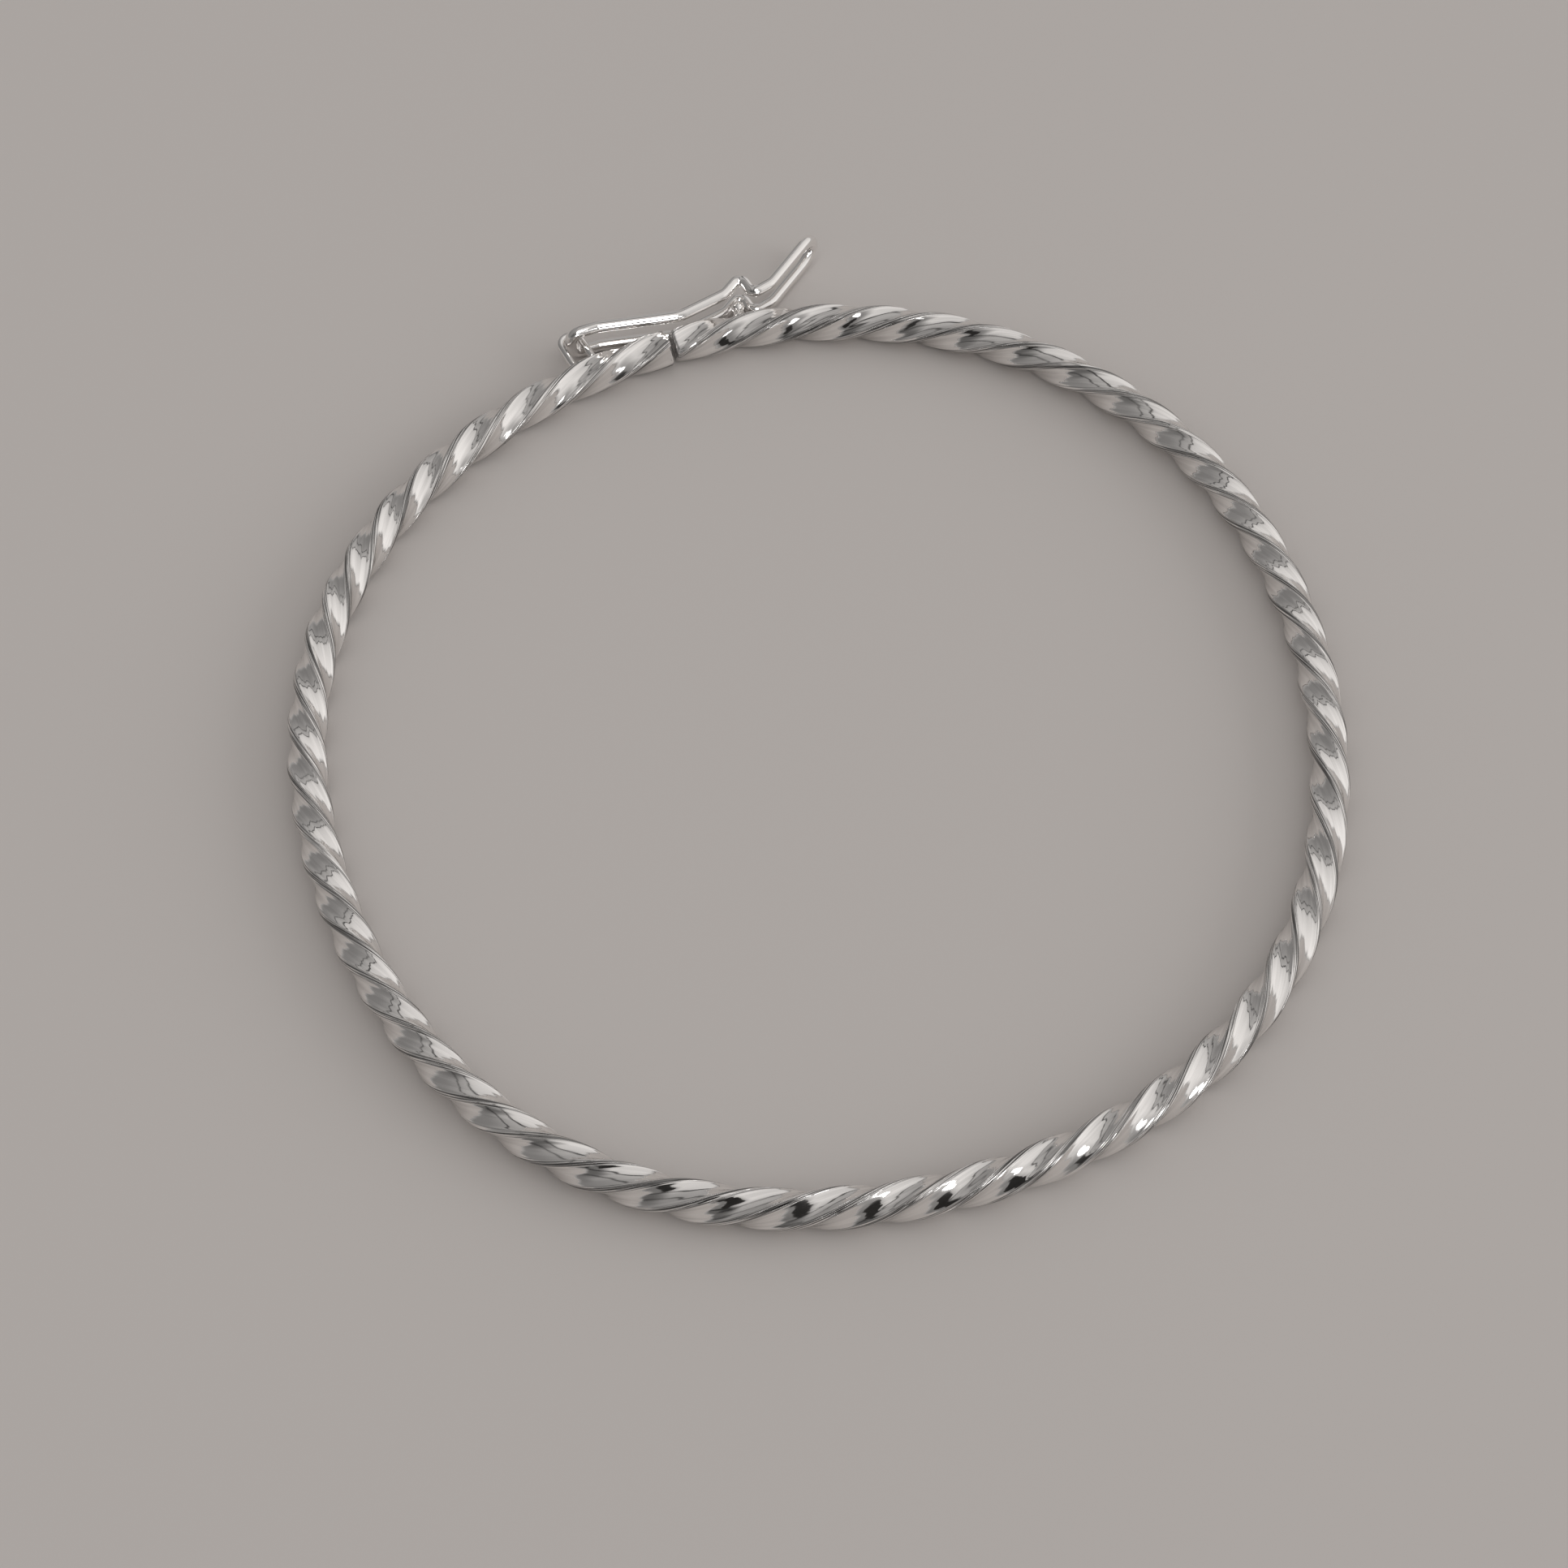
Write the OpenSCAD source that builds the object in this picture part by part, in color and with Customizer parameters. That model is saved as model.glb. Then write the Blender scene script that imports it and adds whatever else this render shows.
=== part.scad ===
/* [Bangle] */
// Mean radius of the bangle at the middle of its wire, in mm
bangle_radius = 31.7; // [25:0.1:40]
// Gap between the two cut ends of the band at the clasp
end_gap = 0.3; // [0.1:0.05:1]

/* [Twisted wire] */
// Distance from the middle of the wire to a ridge
ridge_reach = 1.23; // [0.9:0.01:1.8]
// Width of the narrow worn land along each ridge
ridge_land = 0.3; // [0.1:0.01:0.5]
// Depth of the slight hollow that twisting pulls into each face
face_hollow = 0.04; // [0:0.01:0.1]
// Quarter turns of twist from one end of the band to the other
quarter_turns = 52.7; // [30:0.1:80]
// Where the first ridge starts at the left end, in quarter turns
twist_start = 0.31; // [0:0.01:1]
// Rings of points for each quarter turn
rings_per_quarter = 5; // [4:1:7]

/* [Latch] */
// Thickness of the latch wire
latch_wire = 0.8; // [0.6:0.05:0.9]
// Height between the middles of the latch's upper and lower legs
leg_spacing = 1.9; // [1.8:0.05:2.4]
// Bend between the upright hinge pin and each leg, at the middle of the wire
hinge_bend = 0.6; // [0.5:0.05:0.7]
// Length of the rounded end of the finger tab
tip_reach = 1.6; // [1:0.1:2]
// Sides of the latch's round wire
wire_sides = 12; // [8:4:16]
// Running clearance between the hinge pin and its staple
pin_clearance = 0.05; // [0.02:0.01:0.1]

/* [Hinge staple and catch] */
// Thickness of the staple's metal
staple_metal = 0.5; // [0.4:0.05:0.6]
// Width of the slot between the staple's two feet
staple_slot = 0.75; // [0.5:0.05:0.9]
// Thickness of the catch peg's stem
peg_stem = 0.7; // [0.5:0.05:0.8]
// Thickness of the catch peg's round head
peg_head = 0.85; // [0.6:0.05:0.9]
// How far the peg's head stands out from the middle of the band
peg_reach = 2.35; // [1.8:0.05:2.6]
// Place of the peg round the bangle, in degrees
peg_angle = 81.2; // [75:0.1:85]

/* [Hidden] */

// The bangle is shaped by hand and is a little out of round.
// Each row: waves round the bangle, height of the wave, angle of its first crest
WAVES = 0;
HEIGHT = 1;
CREST = 2;
unevenness = [
  [2, 0.51, 66],
  [3, 0.17, 41],
  [4, 0.32, 45],
  [5, 0.11, 11],
];

// The twist is not quite even: it is a little tighter at the two sides, and slacker at the left end.
// Each row: waves along the band, quarter turns it runs ahead, angle where it starts
twist_unevenness = [
  [1, 0.401, 137.2],
  [2, 0.372, -168],
  [3, 0.058, -132.5],
  [4, 0.034, -174.7],
  [5, 0.045, -95.4],
];

// The latch seen from above, from hinge pin to finger tip.
// Each row: x, y, bend radius there
BEND = 2;
latch_plan = [
  [-6.2, 33.88, 0],
  [-4.3, 33.98, 1.5],
  [1.1, 33.17, 2],
  [4.4, 34.02, 1.2],
  [5.92, 35.24, 0.5],
  [6.27, 33.5, 0.5],
  [7.7, 33.97, 1.5],
  [11.6, 37.2, 0],
];

// The clasp sits on the y axis, and the bangle lies on its ridges at height 0
clasp_angle = 90;
wire_height = norm([ridge_reach, ridge_land / 2]);
latch_low = latch_wire / 2;
latch_middle = latch_low + leg_spacing / 2;
latch_high = latch_low + leg_spacing;
// The bent wire's ends are sunk into the upright hinge pin, which is a hair thicker
pin_swell = 0.02;
pin_sink = 0.1;
pin_lap = 0.05;
pin_radius = latch_wire / 2 + pin_swell;
bore_radius = pin_radius + pin_clearance;
// The staple's feet and the peg's root end this far from the middle of the band
solder_depth = 0.4;
round_sides = 48;
// Largest turn between two rings of points on a bend
bend_step = 16;
tip_rings = 10;
hinge_rings = 4;

function turned(p, angle) =
  [p.x * cos(angle) - p.y * sin(angle), p.x * sin(angle) + p.y * cos(angle)];

// Skin of a swept tube, from its rings of points; seen from outside, faces run clockwise
function tube_faces(rings, sides) =
  let (last = (rings - 1) * sides)
  concat(
    [
      for (i = [0 : rings - 2])
        for (j = [0 : sides - 1])
          let (k = (j + 1) % sides, a = i * sides, b = a + sides)
          each [[a + j, b + j, b + k], [a + j, b + k, a + k]]
    ],
    [[for (j = [0 : sides - 1]) j], [for (j = [sides - 1 : -1 : 0]) last + j]]
  );

// Wire path of the bangle

function wave_sum(angle, i = 0) =
  i == len(unevenness) ? 0 :
  unevenness[i][HEIGHT] * cos(unevenness[i][WAVES] * (angle - unevenness[i][CREST]))
  + wave_sum(angle, i + 1);

function band_radius(angle) = bangle_radius + wave_sum(angle);

function band_xy(angle) = band_radius(angle) * [cos(angle), sin(angle)];

function band_outward(angle) =
  let (step = 0.1, run = band_xy(angle + step) - band_xy(angle - step))
  [run.y, -run.x] / norm(run);

function twist_lead(sweep, i = 0) =
  i == len(twist_unevenness) ? 0 :
  twist_unevenness[i][HEIGHT] * sin(twist_unevenness[i][WAVES] * sweep - twist_unevenness[i][CREST])
  + twist_lead(sweep, i + 1);

// Turn of the wire's section after a sweep round the bangle from the clasp
function twist(sweep) = 90 * (twist_start + quarter_turns * sweep / 360 + twist_lead(sweep));

// Section of the wire, clockwise, one ridge at a time: two points on its land and two on
// the hollow face beside it
face_reach = (ridge_reach + ridge_land / 2) / sqrt(2);
face_half = (ridge_reach - ridge_land / 2) / sqrt(2);
face_third = face_half / 3;
one_ridge = [
  [ridge_reach, ridge_land / 2],
  [ridge_reach, -ridge_land / 2],
  turned([face_reach - face_hollow, face_third], -45),
  turned([face_reach - face_hollow, -face_third], -45),
];
wire_section = [for (ridge = [0 : 3]) for (p = one_ridge) turned(p, -90 * ridge)];

ring_total = round(quarter_turns * rings_per_quarter);
half_gap_angle = asin(end_gap / 2 / band_radius(clasp_angle));

function band_ring(i) =
  let (
    sweep = half_gap_angle + (360 - 2 * half_gap_angle) * i / ring_total,
    angle = clasp_angle + sweep,
    middle = band_xy(angle),
    outward = band_outward(angle),
    turn = twist(sweep)
  )
  [
    for (p = wire_section)
      let (q = turned(p, turn))
      [middle.x + q.x * outward.x, middle.y + q.x * outward.y, wire_height + q.y]
  ];

module twisted_wire() {
  polyhedron(
    points = [for (i = [0 : ring_total]) each band_ring(i)],
    faces = tube_faces(ring_total + 1, len(wire_section)),
    convexity = 12
  );
}

// Hinge staple: a bent strip soldered to the outside of the band, with the pin's bore

pin_xy = [latch_plan[0].x, latch_plan[0].y];
pin_angle = atan2(pin_xy.y, pin_xy.x);
staple_radius = bore_radius + staple_metal;
foot_length = norm(pin_xy) - band_radius(pin_angle) - solder_depth;
// The slot behind the bore stops at the band's skin
slot_length = norm(pin_xy) - band_radius(pin_angle) - ridge_reach;

module hinge_staple() {
  translate([pin_xy.x, pin_xy.y, latch_middle])
    rotate(pin_angle)
      difference() {
        union() {
          cylinder(h = staple_metal, r = staple_radius, center = true, $fn = round_sides);
          translate([-foot_length / 2, 0, 0])
            cube([foot_length, 2 * staple_radius, staple_metal], center = true);
        }
        cylinder(h = 2 * staple_metal, r = bore_radius, center = true, $fn = round_sides);
        translate([-slot_length / 2, 0, 0])
          cube([slot_length, staple_slot, 2 * staple_metal], center = true);
      }
}

// Catch peg: a short post with a round head that the latch's kink drops over

peg_root = band_radius(peg_angle) + solder_depth;
peg_length = peg_reach - peg_head / 2 - solder_depth;

module catch_peg() {
  rotate(peg_angle)
    translate([peg_root, 0, latch_middle]) {
      rotate([0, 90, 0])
        cylinder(h = peg_length, d = peg_stem, $fn = round_sides);
      translate([peg_length, 0, 0])
        sphere(d = peg_head, $fn = round_sides);
    }
}

module band() {
  color("silver") {
    twisted_wire();
    hinge_staple();
    catch_peg();
  }
}

// Latch: one closed loop of round wire, its two legs one above the other

latch_last = len(latch_plan) - 1;

function plan_point(i) = [latch_plan[i].x, latch_plan[i].y];

function heading(i) =
  let (run = plan_point(i + 1) - plan_point(i))
  atan2(run.y, run.x);

function ahead(angle) = [cos(angle), sin(angle)];

// Arc at one bend of the plan: middle of the wire and heading at each step
function bend_path(i) =
  let (
    before = heading(i - 1),
    turn = heading(i) - before,
    side = sign(turn),
    bend = latch_plan[i][BEND],
    start = plan_point(i) - bend * tan(abs(turn) / 2) * ahead(before),
    centre = start + side * bend * ahead(before + 90),
    steps = ceil(abs(turn) / bend_step)
  )
  [
    for (n = [0 : steps])
      let (now = before + turn * n / steps)
      [centre - side * bend * ahead(now + 90), now]
  ];

hinge_heading = heading(0);
leg_start = pin_xy + hinge_bend * ahead(hinge_heading);
tip_heading = heading(latch_last - 1);
leg_end = plan_point(latch_last) - tip_reach * ahead(tip_heading);
leg_path = concat(
  [[leg_start, hinge_heading]],
  [for (i = [1 : latch_last - 1]) each bend_path(i)],
  [[leg_end, tip_heading]]
);

// Circle of points square to the wire: middle, heading seen from above, climb of the wire
function wire_ring(middle, now, climb) =
  [
    for (n = [0 : wire_sides - 1])
      let (
        a = 360 * n / wire_sides,
        side = latch_wire / 2 * cos(a),
        up = latch_wire / 2 * sin(a)
      )
      middle + side * [-sin(now), cos(now), 0]
        + up * [-sin(climb) * cos(now), -sin(climb) * sin(now), cos(climb)]
  ];

function leg_ring(i, height, climb) =
  wire_ring([leg_path[i][0].x, leg_path[i][0].y, height], leg_path[i][1], climb);

// Quarter bend from the pin to a leg, and the straight bit of it that is sunk in the pin
function hinge_ring(climb, bend_height) =
  let (spot = leg_start + hinge_bend * sin(climb) * ahead(hinge_heading))
  wire_ring([spot.x, spot.y, bend_height - hinge_bend * cos(climb)], hinge_heading, climb);

function sunk_ring(height) = wire_ring([pin_xy.x, pin_xy.y, height], hinge_heading, 270);

// Long round end of the finger tab, where the lower leg turns up into the upper one
function tip_ring(angle) =
  let (
    tip_rise = leg_spacing / 2,
    spot = leg_end + tip_reach * sin(angle) * ahead(tip_heading),
    climb = atan2(tip_rise * sin(angle), tip_reach * cos(angle))
  )
  wire_ring([spot.x, spot.y, latch_middle - tip_rise * cos(angle)], tip_heading, climb);

latch_rings = concat(
  [sunk_ring(latch_low + hinge_bend + pin_sink)],
  [for (n = [0 : hinge_rings - 1]) hinge_ring(90 * n / hinge_rings - 90, latch_low + hinge_bend)],
  [for (i = [0 : len(leg_path) - 1]) leg_ring(i, latch_low, 0)],
  [for (n = [1 : tip_rings - 1]) tip_ring(180 * n / tip_rings)],
  [for (i = [len(leg_path) - 1 : -1 : 0]) leg_ring(i, latch_high, 180)],
  [for (n = [1 : hinge_rings]) hinge_ring(90 * n / hinge_rings + 180, latch_high - hinge_bend)],
  [sunk_ring(latch_high - hinge_bend - pin_sink)]
);

pin_length = leg_spacing - 2 * hinge_bend + 2 * pin_lap;

module latch() {
  color("gainsboro") {
    polyhedron(
      points = [for (ring = latch_rings) each ring],
      faces = tube_faces(len(latch_rings), wire_sides),
      convexity = 6
    );
    translate([pin_xy.x, pin_xy.y, latch_middle])
      cylinder(h = pin_length, r = pin_radius, center = true, $fn = round_sides);
  }
}

band();
latch();
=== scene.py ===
"""Silver twisted wire bangle with a hinged wire latch, in metres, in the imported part's frame."""

import math

import bpy
from mathutils import Matrix, Vector


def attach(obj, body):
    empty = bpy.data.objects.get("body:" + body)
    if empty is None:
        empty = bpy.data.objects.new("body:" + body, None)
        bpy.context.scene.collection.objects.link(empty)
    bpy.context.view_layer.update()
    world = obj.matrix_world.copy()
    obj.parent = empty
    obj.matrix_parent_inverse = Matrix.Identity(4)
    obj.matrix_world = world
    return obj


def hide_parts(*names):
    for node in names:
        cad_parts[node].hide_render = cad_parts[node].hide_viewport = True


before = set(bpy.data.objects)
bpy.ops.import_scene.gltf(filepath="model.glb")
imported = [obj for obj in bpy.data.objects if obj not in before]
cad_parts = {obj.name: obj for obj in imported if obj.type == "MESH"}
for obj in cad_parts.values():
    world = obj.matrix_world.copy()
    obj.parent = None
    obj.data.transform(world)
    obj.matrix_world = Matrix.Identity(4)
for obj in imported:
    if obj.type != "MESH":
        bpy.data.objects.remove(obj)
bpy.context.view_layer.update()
MM = 0.001

# ---- the bangle's named sizes, in mm and degrees, as in the part's source ----

BANGLE_RADIUS = 31.7
END_GAP = 0.3
RIDGE_REACH = 1.23
RIDGE_LAND = 0.3
FACE_HOLLOW = 0.04
QUARTER_TURNS = 52.7
TWIST_START = 0.31
# waves round the bangle, height of the wave, angle of its first crest
UNEVENNESS = [(2, 0.51, 66), (3, 0.17, 41), (4, 0.32, 45), (5, 0.11, 11)]
# waves along the band, quarter turns it runs ahead, angle where it starts
TWIST_UNEVENNESS = [
    (1, 0.401, 137.2),
    (2, 0.372, -168),
    (3, 0.058, -132.5),
    (4, 0.034, -174.7),
    (5, 0.045, -95.4),
]
CLASP_ANGLE = 90
WIRE_HEIGHT = math.hypot(RIDGE_REACH, RIDGE_LAND / 2)
# round of the cut ends
END_ROUND = 0.2

LATCH_WIRE = 0.8
LEG_SPACING = 1.9
HINGE_BEND = 0.6
TIP_REACH = 1.6
# x, y, bend radius there
LATCH_PLAN = [
    (-6.2, 33.88, 0),
    (-4.3, 33.98, 1.5),
    (1.1, 33.17, 2),
    (4.4, 34.02, 1.2),
    (5.92, 35.24, 0.5),
    (6.27, 33.5, 0.5),
    (7.7, 33.97, 1.5),
    (11.6, 37.2, 0),
]
LATCH_LOW = LATCH_WIRE / 2
LATCH_MIDDLE = LATCH_LOW + LEG_SPACING / 2
PIN = Vector(LATCH_PLAN[0][:2])
PIN_CLEARANCE = 0.07
STAPLE_METAL = 0.5
PEG_STEM = 0.7
PEG_HEAD = 0.85
PEG_REACH = 2.35
PEG_ANGLE = 81.2
# how far a face of the twisted wire stands from its middle line, where a foot is soldered on
FACE_REACH = 1
# heights over that face at which a soldered foot is drawn
FOOT_RISES = (-0.5, -0.1, 0, 0.06, 0.12, 0.18, 0.25, 0.35, 0.45)
# share by which the solder thickens the foot right on the face
SOLDER = 0.5


def ahead(angle):
    return Vector((math.cos(math.radians(angle)), math.sin(math.radians(angle))))


def heading(way):
    return math.degrees(math.atan2(way.y, way.x))


# ---- small workshop helpers ----

# points nearer than this, in metres, are one point; edges over this many degrees stay sharp
SAME_SPOT = 0.000001
SHARP_EDGE = 60


def clear_selection():
    if bpy.context.object and bpy.context.object.mode != "OBJECT":
        bpy.ops.object.mode_set(mode="OBJECT")
    bpy.ops.object.select_all(action="DESELECT")


def pick(piece):
    clear_selection()
    piece.select_set(True)
    bpy.context.view_layer.objects.active = piece


def drawn_line(name, points, cyclic=False):
    """A poly line through (place in mm, tilt, thickness) points, started from a path primitive."""
    clear_selection()
    bpy.ops.curve.primitive_nurbs_path_add(location=(0, 0, 0))
    line = bpy.context.object
    line.name = line.data.name = name
    line.data.splines.clear()
    run = line.data.splines.new("POLY")
    run.points.add(len(points) - 1)
    for spot, (place, tilt, thick) in zip(run.points, points):
        spot.co = (place.x * MM, place.y * MM, place.z * MM, 1)
        spot.tilt = tilt
        spot.radius = thick
    run.use_cyclic_u = cyclic
    run.use_smooth = True
    return line


def to_metal(piece):
    """Turns a bevelled curve into a closed, outward-facing, smooth mesh."""
    pick(piece)
    bpy.ops.object.convert(target="MESH")
    bpy.ops.object.mode_set(mode="EDIT")
    bpy.ops.mesh.select_all(action="SELECT")
    bpy.ops.mesh.remove_doubles(threshold=SAME_SPOT)
    bpy.ops.mesh.normals_make_consistent(inside=False)
    bpy.ops.object.mode_set(mode="OBJECT")
    bpy.ops.object.shade_smooth_by_angle(angle=math.radians(SHARP_EDGE))
    bpy.ops.object.transform_apply(location=True, rotation=True, scale=True)
    return piece


# ---- the band: square wire, twisted and bent round ----

RINGS_PER_QUARTER = 16
END_STEPS = 5


def band_radius(angle):
    return BANGLE_RADIUS + sum(
        height * math.cos(math.radians(waves * (angle - crest)))
        for waves, height, crest in UNEVENNESS
    )


def band_xy(angle):
    return band_radius(angle) * ahead(angle)


def twist(sweep):
    lead = sum(
        quarters * math.sin(math.radians(waves * sweep - start))
        for waves, quarters, start in TWIST_UNEVENNESS
    )
    return 90 * (TWIST_START + QUARTER_TURNS * sweep / 360 + lead)


def wire_profile():
    """Square section with rounded ridges and slightly hollow faces, drawn from a ridge on."""
    half_land = RIDGE_LAND / 2
    reach = (RIDGE_REACH + half_land) / math.sqrt(2)
    # the round that touches both faces and the middle of the land
    ridge_round = (reach * math.sqrt(2) - RIDGE_REACH) / (math.sqrt(2) - 1)
    half_face = reach - ridge_round
    quarter = [RIDGE_REACH * ahead(0)]
    for turn in (8, 16, 24, 32, 39, 45):
        quarter.append((RIDGE_REACH - ridge_round) * ahead(0) + ridge_round * ahead(turn))
    for share in (0.8, 0.5, 0.17, -0.17, -0.5, -0.8):
        hollow = FACE_HOLLOW * (1 - share**2)
        quarter.append((reach - hollow) * ahead(45) - half_face * share * ahead(135))
    for turn in (-45, -39, -32, -24, -16, -8):
        quarter.append((RIDGE_REACH - ridge_round) * ahead(90) + ridge_round * ahead(90 + turn))
    turns = [Matrix.Rotation(math.radians(90 * ridge), 2) for ridge in range(4)]
    return [turn @ spot for turn in turns for spot in quarter]


def twisted_band():
    section = wire_profile()
    profile = drawn_line("wire_section", [(p.to_3d(), 0, 1) for p in section], cyclic=True)
    profile.data.dimensions = "2D"
    profile.data.fill_mode = "NONE"
    half_gap = math.degrees(math.asin(END_GAP / 2 / band_radius(CLASP_ANGLE)))
    rings = round(QUARTER_TURNS * RINGS_PER_QUARTER)
    stops = [(half_gap + (360 - 2 * half_gap) * i / rings, 1) for i in range(1, rings)]
    for n in range(END_STEPS + 1):
        turn = math.radians(90 * (1 - n / END_STEPS))
        back = math.degrees(END_ROUND * (1 - math.sin(turn)) / BANGLE_RADIUS)
        thin = 1 - END_ROUND * (1 - math.cos(turn)) / RIDGE_REACH
        stops.append((half_gap + back, thin))
        stops.append((360 - half_gap - back, thin))
    points = []
    for sweep, thin in sorted(stops):
        at = band_xy(CLASP_ANGLE + sweep)
        points.append((Vector((at.x, at.y, WIRE_HEIGHT)), math.radians(-twist(sweep)), thin))
    band = drawn_line("band_wire", points)
    band.data.dimensions = "3D"
    band.data.twist_mode = "Z_UP"
    band.data.bevel_mode = "OBJECT"
    band.data.bevel_object = profile
    band.data.use_fill_caps = True
    to_metal(band)
    bpy.data.objects.remove(profile)
    return band


# ---- the latch: one closed loop of round wire ----

HINGE_STEPS = 9
TIP_STEPS = 20
DEGREES_PER_STEP = 5
LEAST_BEND_STEPS = 6


def plan_corners():
    """Middle of the latch wire and its heading, from hinge to tab, seen from above."""
    spots = [Vector(row[:2]) for row in LATCH_PLAN]
    ways = [heading(b - a) for a, b in zip(spots, spots[1:])]
    path = [(spots[0] + HINGE_BEND * ahead(ways[0]), ways[0])]
    for i in range(1, len(spots) - 1):
        before, turn = ways[i - 1], ways[i] - ways[i - 1]
        side, bend = (1 if turn > 0 else -1), LATCH_PLAN[i][2]
        start = spots[i] - bend * math.tan(math.radians(abs(turn) / 2)) * ahead(before)
        centre = start + side * bend * ahead(before + 90)
        steps = max(LEAST_BEND_STEPS, round(abs(turn) / DEGREES_PER_STEP))
        for n in range(steps + 1):
            now = before + turn * n / steps
            path.append((centre - side * bend * ahead(now + 90), now))
    path.append((spots[-1] - TIP_REACH * ahead(ways[-1]), ways[-1]))
    return path


def latch_line():
    path = plan_corners()
    high = LATCH_LOW + LEG_SPACING
    line = []
    way = ahead(path[0][1])
    for n in range(HINGE_STEPS):
        turn = math.radians(90 * n / HINGE_STEPS - 90)
        at = path[0][0] + HINGE_BEND * math.sin(turn) * way
        line.append(Vector((at.x, at.y, LATCH_LOW + HINGE_BEND * (1 - math.cos(turn)))))
    line += [Vector((at.x, at.y, LATCH_LOW)) for at, now in path]
    tip, way = path[-1][0], ahead(path[-1][1])
    for n in range(1, TIP_STEPS):
        turn = math.radians(180 * n / TIP_STEPS)
        at = tip + TIP_REACH * math.sin(turn) * way
        line.append(Vector((at.x, at.y, LATCH_MIDDLE - LEG_SPACING / 2 * math.cos(turn))))
    line += [Vector((at.x, at.y, high)) for at, now in reversed(path)]
    way = ahead(path[0][1])
    for n in range(1, HINGE_STEPS + 1):
        turn = math.radians(180 + 90 * n / HINGE_STEPS)
        at = path[0][0] + HINGE_BEND * math.sin(turn) * way
        line.append(Vector((at.x, at.y, high - HINGE_BEND * (1 + math.cos(turn)))))
    return line


def latch_loop():
    latch = drawn_line("latch_wire", [(p, 0, 1) for p in latch_line()], cyclic=True)
    latch.data.dimensions = "3D"
    latch.data.twist_mode = "MINIMUM"
    latch.data.bevel_mode = "ROUND"
    latch.data.bevel_depth = LATCH_WIRE / 2 * MM
    latch.data.bevel_resolution = 12
    return to_metal(latch)


# ---- hinge staple and catch peg, soldered to the band ----

BOW_STEPS = 24
HEAD_STEPS = 12
# the last round of the head is this small and then capped
HEAD_POLE = 0.004


def solder(rise):
    """How much thicker the solder makes a foot at this height over the band."""
    return 1 + SOLDER * (1 - max(0, rise) / FOOT_RISES[-1]) ** 2


def hinge_staple():
    """Round wire bent to a U about the hinge pin, its two feet soldered to the band."""
    out = PIN.normalized()
    across = Vector((out.y, -out.x))
    bow = LATCH_WIRE / 2 + PIN_CLEARANCE + STAPLE_METAL / 2
    sink = band_radius(heading(PIN)) + FACE_REACH - PIN.length
    feet = []
    for side in (-1, 1):
        beside = PIN + side * bow * across
        feet.append([(beside + (sink + rise) * out, solder(rise)) for rise in FOOT_RISES])
    arc = []
    for n in range(BOW_STEPS + 1):
        turn = math.radians(180 * n / BOW_STEPS)
        arc.append((PIN - bow * math.cos(turn) * across + bow * math.sin(turn) * out, 1))
    route = feet[0] + arc + feet[1][::-1]
    points = [(Vector((at.x, at.y, LATCH_MIDDLE)), 0, thick) for at, thick in route]
    staple = drawn_line("hinge_staple", points)
    staple.data.dimensions = "3D"
    staple.data.twist_mode = "Z_UP"
    staple.data.bevel_mode = "ROUND"
    staple.data.bevel_depth = STAPLE_METAL / 2 * MM
    staple.data.bevel_resolution = 8
    staple.data.use_fill_caps = True
    return to_metal(staple)


def catch_peg():
    """Short peg with a round head, soldered to the right arm under the latch's kink."""
    out = ahead(PEG_ANGLE)
    face = band_radius(PEG_ANGLE) + FACE_REACH
    head = band_radius(PEG_ANGLE) + PEG_REACH - PEG_HEAD / 2
    steps = [(face + rise, PEG_STEM / 2 * solder(rise)) for rise in FOOT_RISES]
    neck = math.sqrt((PEG_HEAD / 2) ** 2 - (PEG_STEM / 2) ** 2)
    steps.append((head - neck, PEG_STEM / 2))
    for n in range(1, HEAD_STEPS + 1):
        turn = math.acos(-neck / (PEG_HEAD / 2)) * (1 - n / HEAD_STEPS)
        thick = max(PEG_HEAD / 2 * math.sin(turn), HEAD_POLE)
        steps.append((head + PEG_HEAD / 2 * math.cos(turn), thick))
    points = []
    for far, thick in steps:
        at = out * far
        points.append((Vector((at.x, at.y, LATCH_MIDDLE)), 0, thick / (PEG_HEAD / 2)))
    peg = drawn_line("catch_peg", points)
    peg.data.dimensions = "3D"
    peg.data.twist_mode = "Z_UP"
    peg.data.bevel_mode = "ROUND"
    peg.data.bevel_depth = PEG_HEAD / 2 * MM
    peg.data.bevel_resolution = 10
    peg.data.use_fill_caps = True
    return to_metal(peg)


# ---- silver ----

# how much rougher the worn spots are
DULLED = 0.09
# share of the silver's tone that is left in a darkened line, painted shade for the dark streaks
# along the ridges drawn as tarnish in the fine grooves, and the line's depth beside the broad
# lines
LINE_SHADE_SHARE = 0.22
FINE_DEPTH = 0.15
SILVER = (0.95, 0.932, 0.917)
BRIGHT_SILVER = (0.96, 0.942, 0.927)


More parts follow.
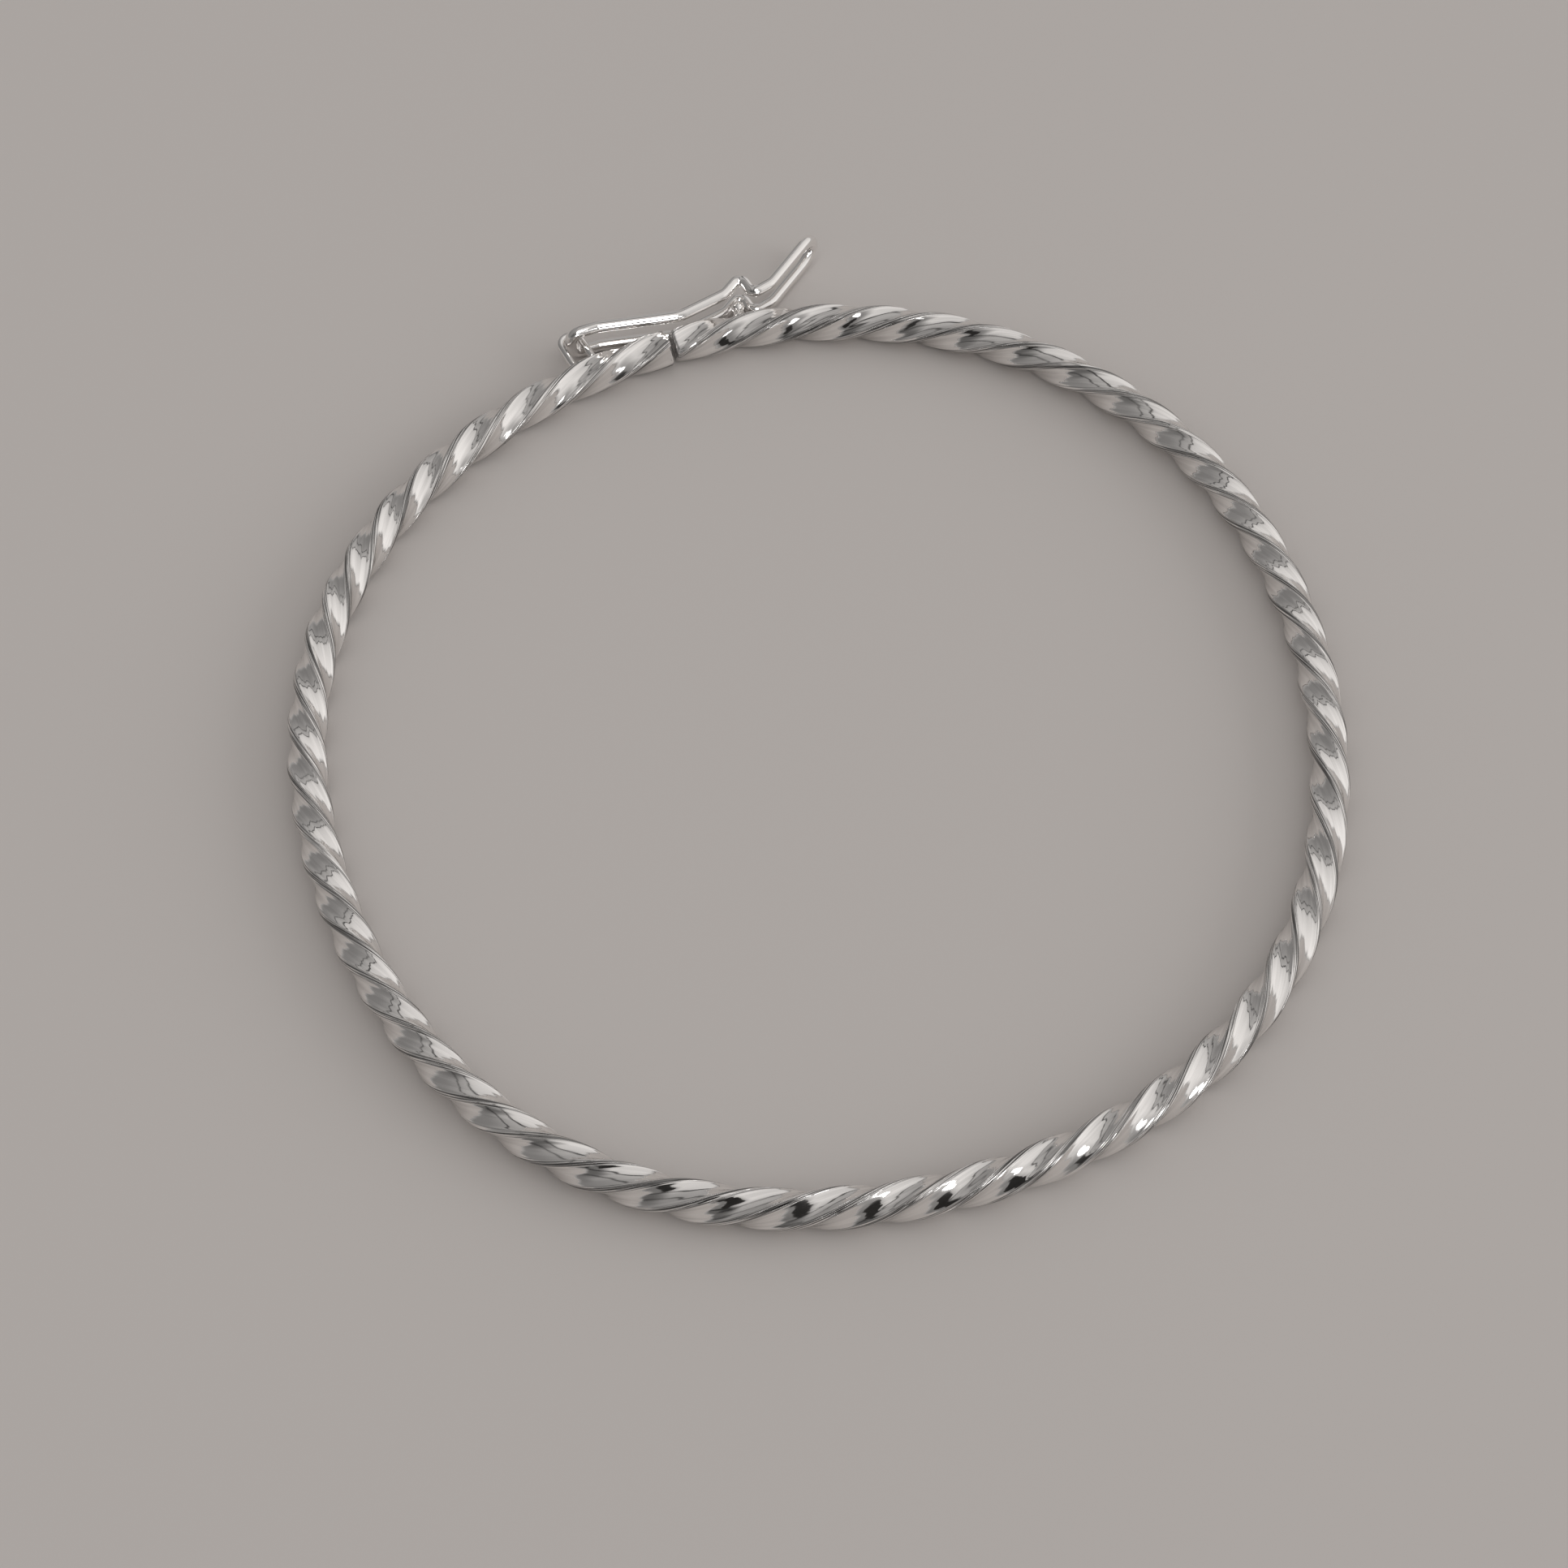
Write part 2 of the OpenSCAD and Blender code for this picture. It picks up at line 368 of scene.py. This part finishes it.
def polished_silver(name, tone, polish, lines_round, lines_along, depth, on_ridges, on_faces):
    """Polished silver with draw lines along the wire and an uneven shine from wear.

    The dark lines are painted shade in the colour, drawn as tarnish in the fine grooves; they are
    as strong as on_ridges by the ridges and as on_faces between them.
    """
    metal = bpy.data.materials.new(name)
    metal.use_nodes = True
    nodes, links = metal.node_tree.nodes, metal.node_tree.links
    shader = nodes["Principled BSDF"]
    shader.inputs["Metallic"].default_value = 1
    place = nodes.new("ShaderNodeTexCoord")

    def grain(source, stretch, detail):
        spread = nodes.new("ShaderNodeMapping")
        spread.inputs["Scale"].default_value = stretch
        links.new(place.outputs[source], spread.inputs["Vector"])
        cloud = nodes.new("ShaderNodeTexNoise")
        cloud.inputs["Scale"].default_value = 1
        cloud.inputs["Detail"].default_value = detail
        links.new(spread.outputs["Vector"], cloud.inputs["Vector"])
        return cloud.outputs["Fac"]

    def levels(source, low, high, dark, light):
        fade = nodes.new("ShaderNodeMapRange")
        fade.inputs["From Min"].default_value = low
        fade.inputs["From Max"].default_value = high
        fade.inputs["To Min"].default_value = dark
        fade.inputs["To Max"].default_value = light
        links.new(source, fade.inputs["Value"])
        return fade.outputs["Result"]

    # wear from handling, in spots of about two millimetres
    handling = grain("Object", (420, 420, 420), 4)
    dulled = levels(handling, 0.35, 0.7, polish, polish + DULLED)
    links.new(dulled, shader.inputs["Roughness"])

    # lines left by drawing the wire: broad shallow ones, and finer ones, darkened in the colour as
    # painted shade of the dark streaks along the ridges, drawn as tarnish
    draw_lines = grain("UV", (lines_along, lines_round, 1), 1)
    fine_lines = levels(grain("UV", (lines_along / 2, lines_round * 2, 1), 1), 0.44, 0.54, 0, 1)
    # V runs once round the wire, so a ridge comes at every quarter of it
    round_wire = nodes.new("ShaderNodeSeparateXYZ")
    links.new(place.outputs["UV"], round_wire.inputs["Vector"])
    from_ridge = nodes.new("ShaderNodeMath")
    from_ridge.operation = "PINGPONG"
    from_ridge.inputs[1].default_value = 1 / 8
    links.new(round_wire.outputs["Y"], from_ridge.inputs[0])
    by_ridge = levels(from_ridge.outputs["Value"], 0.04, 0.08, on_ridges, on_faces)

    # painted shade: the fine lines are darkened in the base colour, most by the ridges, for the
    # dark streaks the ridges mirror
    line_shade = nodes.new("ShaderNodeMix")
    line_shade.data_type = "RGBA"
    line_shade.inputs["A"].default_value = (*tone, 1)
    line_shade.inputs["B"].default_value = (*(part * LINE_SHADE_SHARE for part in tone), 1)
    both = nodes.new("ShaderNodeMath")
    both.operation = "MULTIPLY"
    links.new(fine_lines, both.inputs[0])
    links.new(by_ridge, both.inputs[1])
    links.new(both.outputs["Value"], line_shade.inputs["Factor"])
    links.new(line_shade.outputs["Result"], shader.inputs["Base Color"])

    drawn = nodes.new("ShaderNodeBump")
    drawn.inputs["Distance"].default_value = depth
    links.new(draw_lines, drawn.inputs["Height"])
    scratched = nodes.new("ShaderNodeBump")
    scratched.inputs["Distance"].default_value = depth * FINE_DEPTH
    scratched.invert = True
    links.new(by_ridge, scratched.inputs["Strength"])
    links.new(fine_lines, scratched.inputs["Height"])
    links.new(drawn.outputs["Normal"], scratched.inputs["Normal"])
    links.new(scratched.outputs["Normal"], shader.inputs["Normal"])
    return metal


def coat(piece, metal):
    piece.data.materials.clear()
    piece.data.materials.append(metal)


# ---- build ----

band = twisted_band()
staple = hinge_staple()
peg = catch_peg()
latch = latch_loop()

band_silver = polished_silver(
    "band_silver",
    tone=SILVER,
    polish=0.06,
    lines_round=24,
    lines_along=60,
    depth=0.0001,
    on_ridges=1,
    on_faces=0.12,
)
fitting_silver = polished_silver(
    "fitting_silver",
    tone=SILVER,
    polish=0.06,
    lines_round=5,
    lines_along=3,
    depth=0.000012,
    on_ridges=0.2,
    on_faces=0.2,
)
latch_silver = polished_silver(
    "latch_silver",
    tone=BRIGHT_SILVER,
    polish=0.05,
    lines_round=7,
    lines_along=10,
    depth=0.000004,
    on_ridges=0.05,
    on_faces=0.05,
)
coat(band, band_silver)
coat(staple, fitting_silver)
coat(peg, fitting_silver)
for piece in (band, staple, peg):
    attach(piece, "bangle")
    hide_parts("band")
coat(latch, latch_silver)
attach(latch, "latch")
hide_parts("latch")

# ---- floor, light and camera ----

# turn and height, in degrees, of the bright side of the room
WINDOW_SIDE = (-28, 0)
# turn, height, the cosines where the dim part begins and is full, and the light left there
DIM_PART = (-107, 22, 0.42, 0.97, 0.28)
# light of the room at floor level, and the sine of the height at which it has faded out
HORIZON_LIGHT = 0.34
HORIZON_REACH = 0.2
# even light from all round, for matt surfaces such as the floor
FILL_LIGHT = 0.52
ROOM_TONE = (1, 0.972, 0.95, 1)
# a small window near the bangle and a black card beside it, in metres
WINDOW_LIGHT = (0.028, -0.078, 0.053)
BLACK_CARD = (-0.016, -0.084, 0.058)
CARD_RADIUS = 0.032
CARD_TONE = (0.02, 0.02, 0.02, 1)
# turn and height of the far lights, and their distance in metres
LATCH_LIGHT = (-95, 38)
LATCH_LIGHT_AWAY = 0.8
SIDE_LIGHT = (-22, 20)
SIDE_LIGHT_AWAY = 4.8
# the floor is just under the bangle
FLOOR_LEVEL = -0.00002
FLOOR_SIZE = 3
FLOOR_TONE = (0.68, 0.645, 0.624, 1)
# cosine of the angle from the window side, and how light the room is there
WALLS = [
    (-1, 0.2),
    (-0.75, 0.22),
    (-0.43, 0.3),
    (-0.41, 0.08),
    (-0.38, 0.08),
    (-0.36, 0.33),
    (-0.12, 0.42),
    (-0.1, 0.05),
    (-0.065, 0.05),
    (-0.05, 0.56),
    (0.1, 0.64),
    (0.5, 0.75),
    (1, 0.89),
]


def sky_way(turn, height):
    """Unit vector towards a turn from the X axis and a height over the floor, in degrees."""
    level = math.cos(math.radians(height))
    flat = ahead(turn) * level
    return Vector((flat.x, flat.y, math.sin(math.radians(height))))


def pale_floor():
    """A plain matt floor in the mean tone of the stone top."""
    clear_selection()
    bpy.ops.mesh.primitive_plane_add(size=FLOOR_SIZE, location=(0, 0, FLOOR_LEVEL))
    floor = bpy.context.object
    floor.name = "floor"
    paint = bpy.data.materials.new("pale_floor")
    paint.use_nodes = True
    shader = paint.node_tree.nodes["Principled BSDF"]
    shader.inputs["Base Color"].default_value = FLOOR_TONE
    shader.inputs["Roughness"].default_value = 0.6
    shader.inputs["Specular IOR Level"].default_value = 0.25
    coat(floor, paint)


def soft_light(name, place, width, height, power):
    """An area light that looks at the bangle's middle."""
    clear_selection()
    bpy.ops.object.light_add(type="AREA", location=place)
    lamp = bpy.context.object
    lamp.name = name
    lamp.data.shape = "RECTANGLE"
    lamp.data.size = width
    lamp.data.size_y = height
    lamp.data.energy = power
    lamp.rotation_euler = (-Vector(place)).to_track_quat("-Z", "Y").to_euler()
    return lamp


def light_only(lamp, name, *pieces):
    """Keeps a lamp to these pieces, so it makes no shine on the floor."""
    lit = bpy.data.collections.new(name)
    for piece in pieces:
        lit.objects.link(piece)
    lamp.light_linking.receiver_collection = lit


def studio_room():
    """A room with a bright window side, a dim side, two dark posts and shade by the camera."""
    room = bpy.data.worlds.new("studio_room")
    bpy.context.scene.world = room
    room.use_nodes = True
    nodes, links = room.node_tree.nodes, room.node_tree.links
    backdrop = nodes["Background"]
    looking = nodes.new("ShaderNodeTexCoord")

    def towards(way, start, full, low, high):
        facing = nodes.new("ShaderNodeVectorMath")
        facing.operation = "DOT_PRODUCT"
        facing.inputs[1].default_value = way
        links.new(looking.outputs["Generated"], facing.inputs[0])
        fade = nodes.new("ShaderNodeMapRange")
        fade.interpolation_type = "SMOOTHSTEP"
        fade.inputs["From Min"].default_value = start
        fade.inputs["From Max"].default_value = full
        fade.inputs["To Min"].default_value = low
        fade.inputs["To Max"].default_value = high
        links.new(facing.outputs["Value"], fade.inputs["Value"])
        return fade

    across = towards(sky_way(*WINDOW_SIDE), -1, 1, 0, 1)
    across.interpolation_type = "LINEAR"
    walls = nodes.new("ShaderNodeValToRGB")
    ramp = walls.color_ramp.elements
    ramp[0].position, ramp[1].position = 0, 1
    for row in WALLS[1:-1]:
        ramp.new((row[0] + 1) / 2)
    for stop, (place, light) in zip(ramp, WALLS):
        stop.color = (light, light, light, 1)
    links.new(across.outputs["Result"], walls.inputs["Fac"])
    turn, height, start, full, left = DIM_PART
    dimmer = nodes.new("ShaderNodeMath")
    dimmer.operation = "MULTIPLY"
    links.new(walls.outputs["Color"], dimmer.inputs[0])
    dim_part = towards(sky_way(turn, height), start, full, 1, left)
    links.new(dim_part.outputs["Result"], dimmer.inputs[1])
    haze = nodes.new("ShaderNodeMix")
    haze.inputs["A"].default_value = HORIZON_LIGHT
    over_floor = towards((0, 0, 1), 0, HORIZON_REACH, 0, 1)
    links.new(over_floor.outputs["Result"], haze.inputs["Factor"])
    links.new(dimmer.outputs["Value"], haze.inputs["B"])
    path = nodes.new("ShaderNodeLightPath")
    fill = nodes.new("ShaderNodeMix")
    fill.inputs["B"].default_value = FILL_LIGHT
    links.new(path.outputs["Is Diffuse Ray"], fill.inputs["Factor"])
    links.new(haze.outputs["Result"], fill.inputs["A"])
    links.new(fill.outputs["Result"], backdrop.inputs["Strength"])
    backdrop.inputs["Color"].default_value = ROOM_TONE


def black_card():
    """A black card below the camera, which only the silver mirrors."""
    clear_selection()
    bpy.ops.mesh.primitive_circle_add(
        vertices=48, radius=CARD_RADIUS, fill_type="NGON", location=BLACK_CARD
    )
    card = bpy.context.object
    card.name = "black_card"
    card.rotation_euler = (-Vector(BLACK_CARD)).to_track_quat("Z", "Y").to_euler()
    card.visible_camera = card.visible_diffuse = card.visible_shadow = False
    paint = bpy.data.materials.new("black_paint")
    paint.use_nodes = True
    shader = paint.node_tree.nodes["Principled BSDF"]
    shader.inputs["Base Color"].default_value = CARD_TONE
    shader.inputs["Roughness"].default_value = 0.7
    coat(card, paint)


pale_floor()
studio_room()
black_card()
window = soft_light("window_light", WINDOW_LIGHT, width=0.014, height=0.034, power=0.0076)
window.visible_diffuse = window.visible_camera = False
light_only(window, "silver_only", band, staple, peg, latch)
far_off = sky_way(*LATCH_LIGHT) * LATCH_LIGHT_AWAY
strip = soft_light("latch_light", far_off, width=0.25, height=1.1, power=7.5)
strip.visible_diffuse = strip.visible_camera = False
light_only(strip, "latch_only", latch)
far_off = sky_way(*SIDE_LIGHT) * SIDE_LIGHT_AWAY
side = soft_light("side_light", far_off, width=3.6, height=2, power=48)
side.visible_glossy = side.visible_camera = False

# the photograph's camera: place in metres, lens in mm, and the shift of its frame
VIEW_FROM = Vector((-0.0341, -0.10345, 0.16773))
LENS = 74.78
FRAME_SHIFT = (-0.0236, -0.0289)
clear_selection()
bpy.ops.object.camera_add(location=VIEW_FROM)
camera = bpy.context.object
camera.rotation_euler = (-VIEW_FROM).to_track_quat("-Z", "Y").to_euler()
camera.data.sensor_width = 36
camera.data.lens = LENS
camera.data.shift_x, camera.data.shift_y = FRAME_SHIFT
camera.data.clip_start = 0.01
bpy.context.scene.camera = camera
bpy.context.scene.view_settings.view_transform = "Standard"
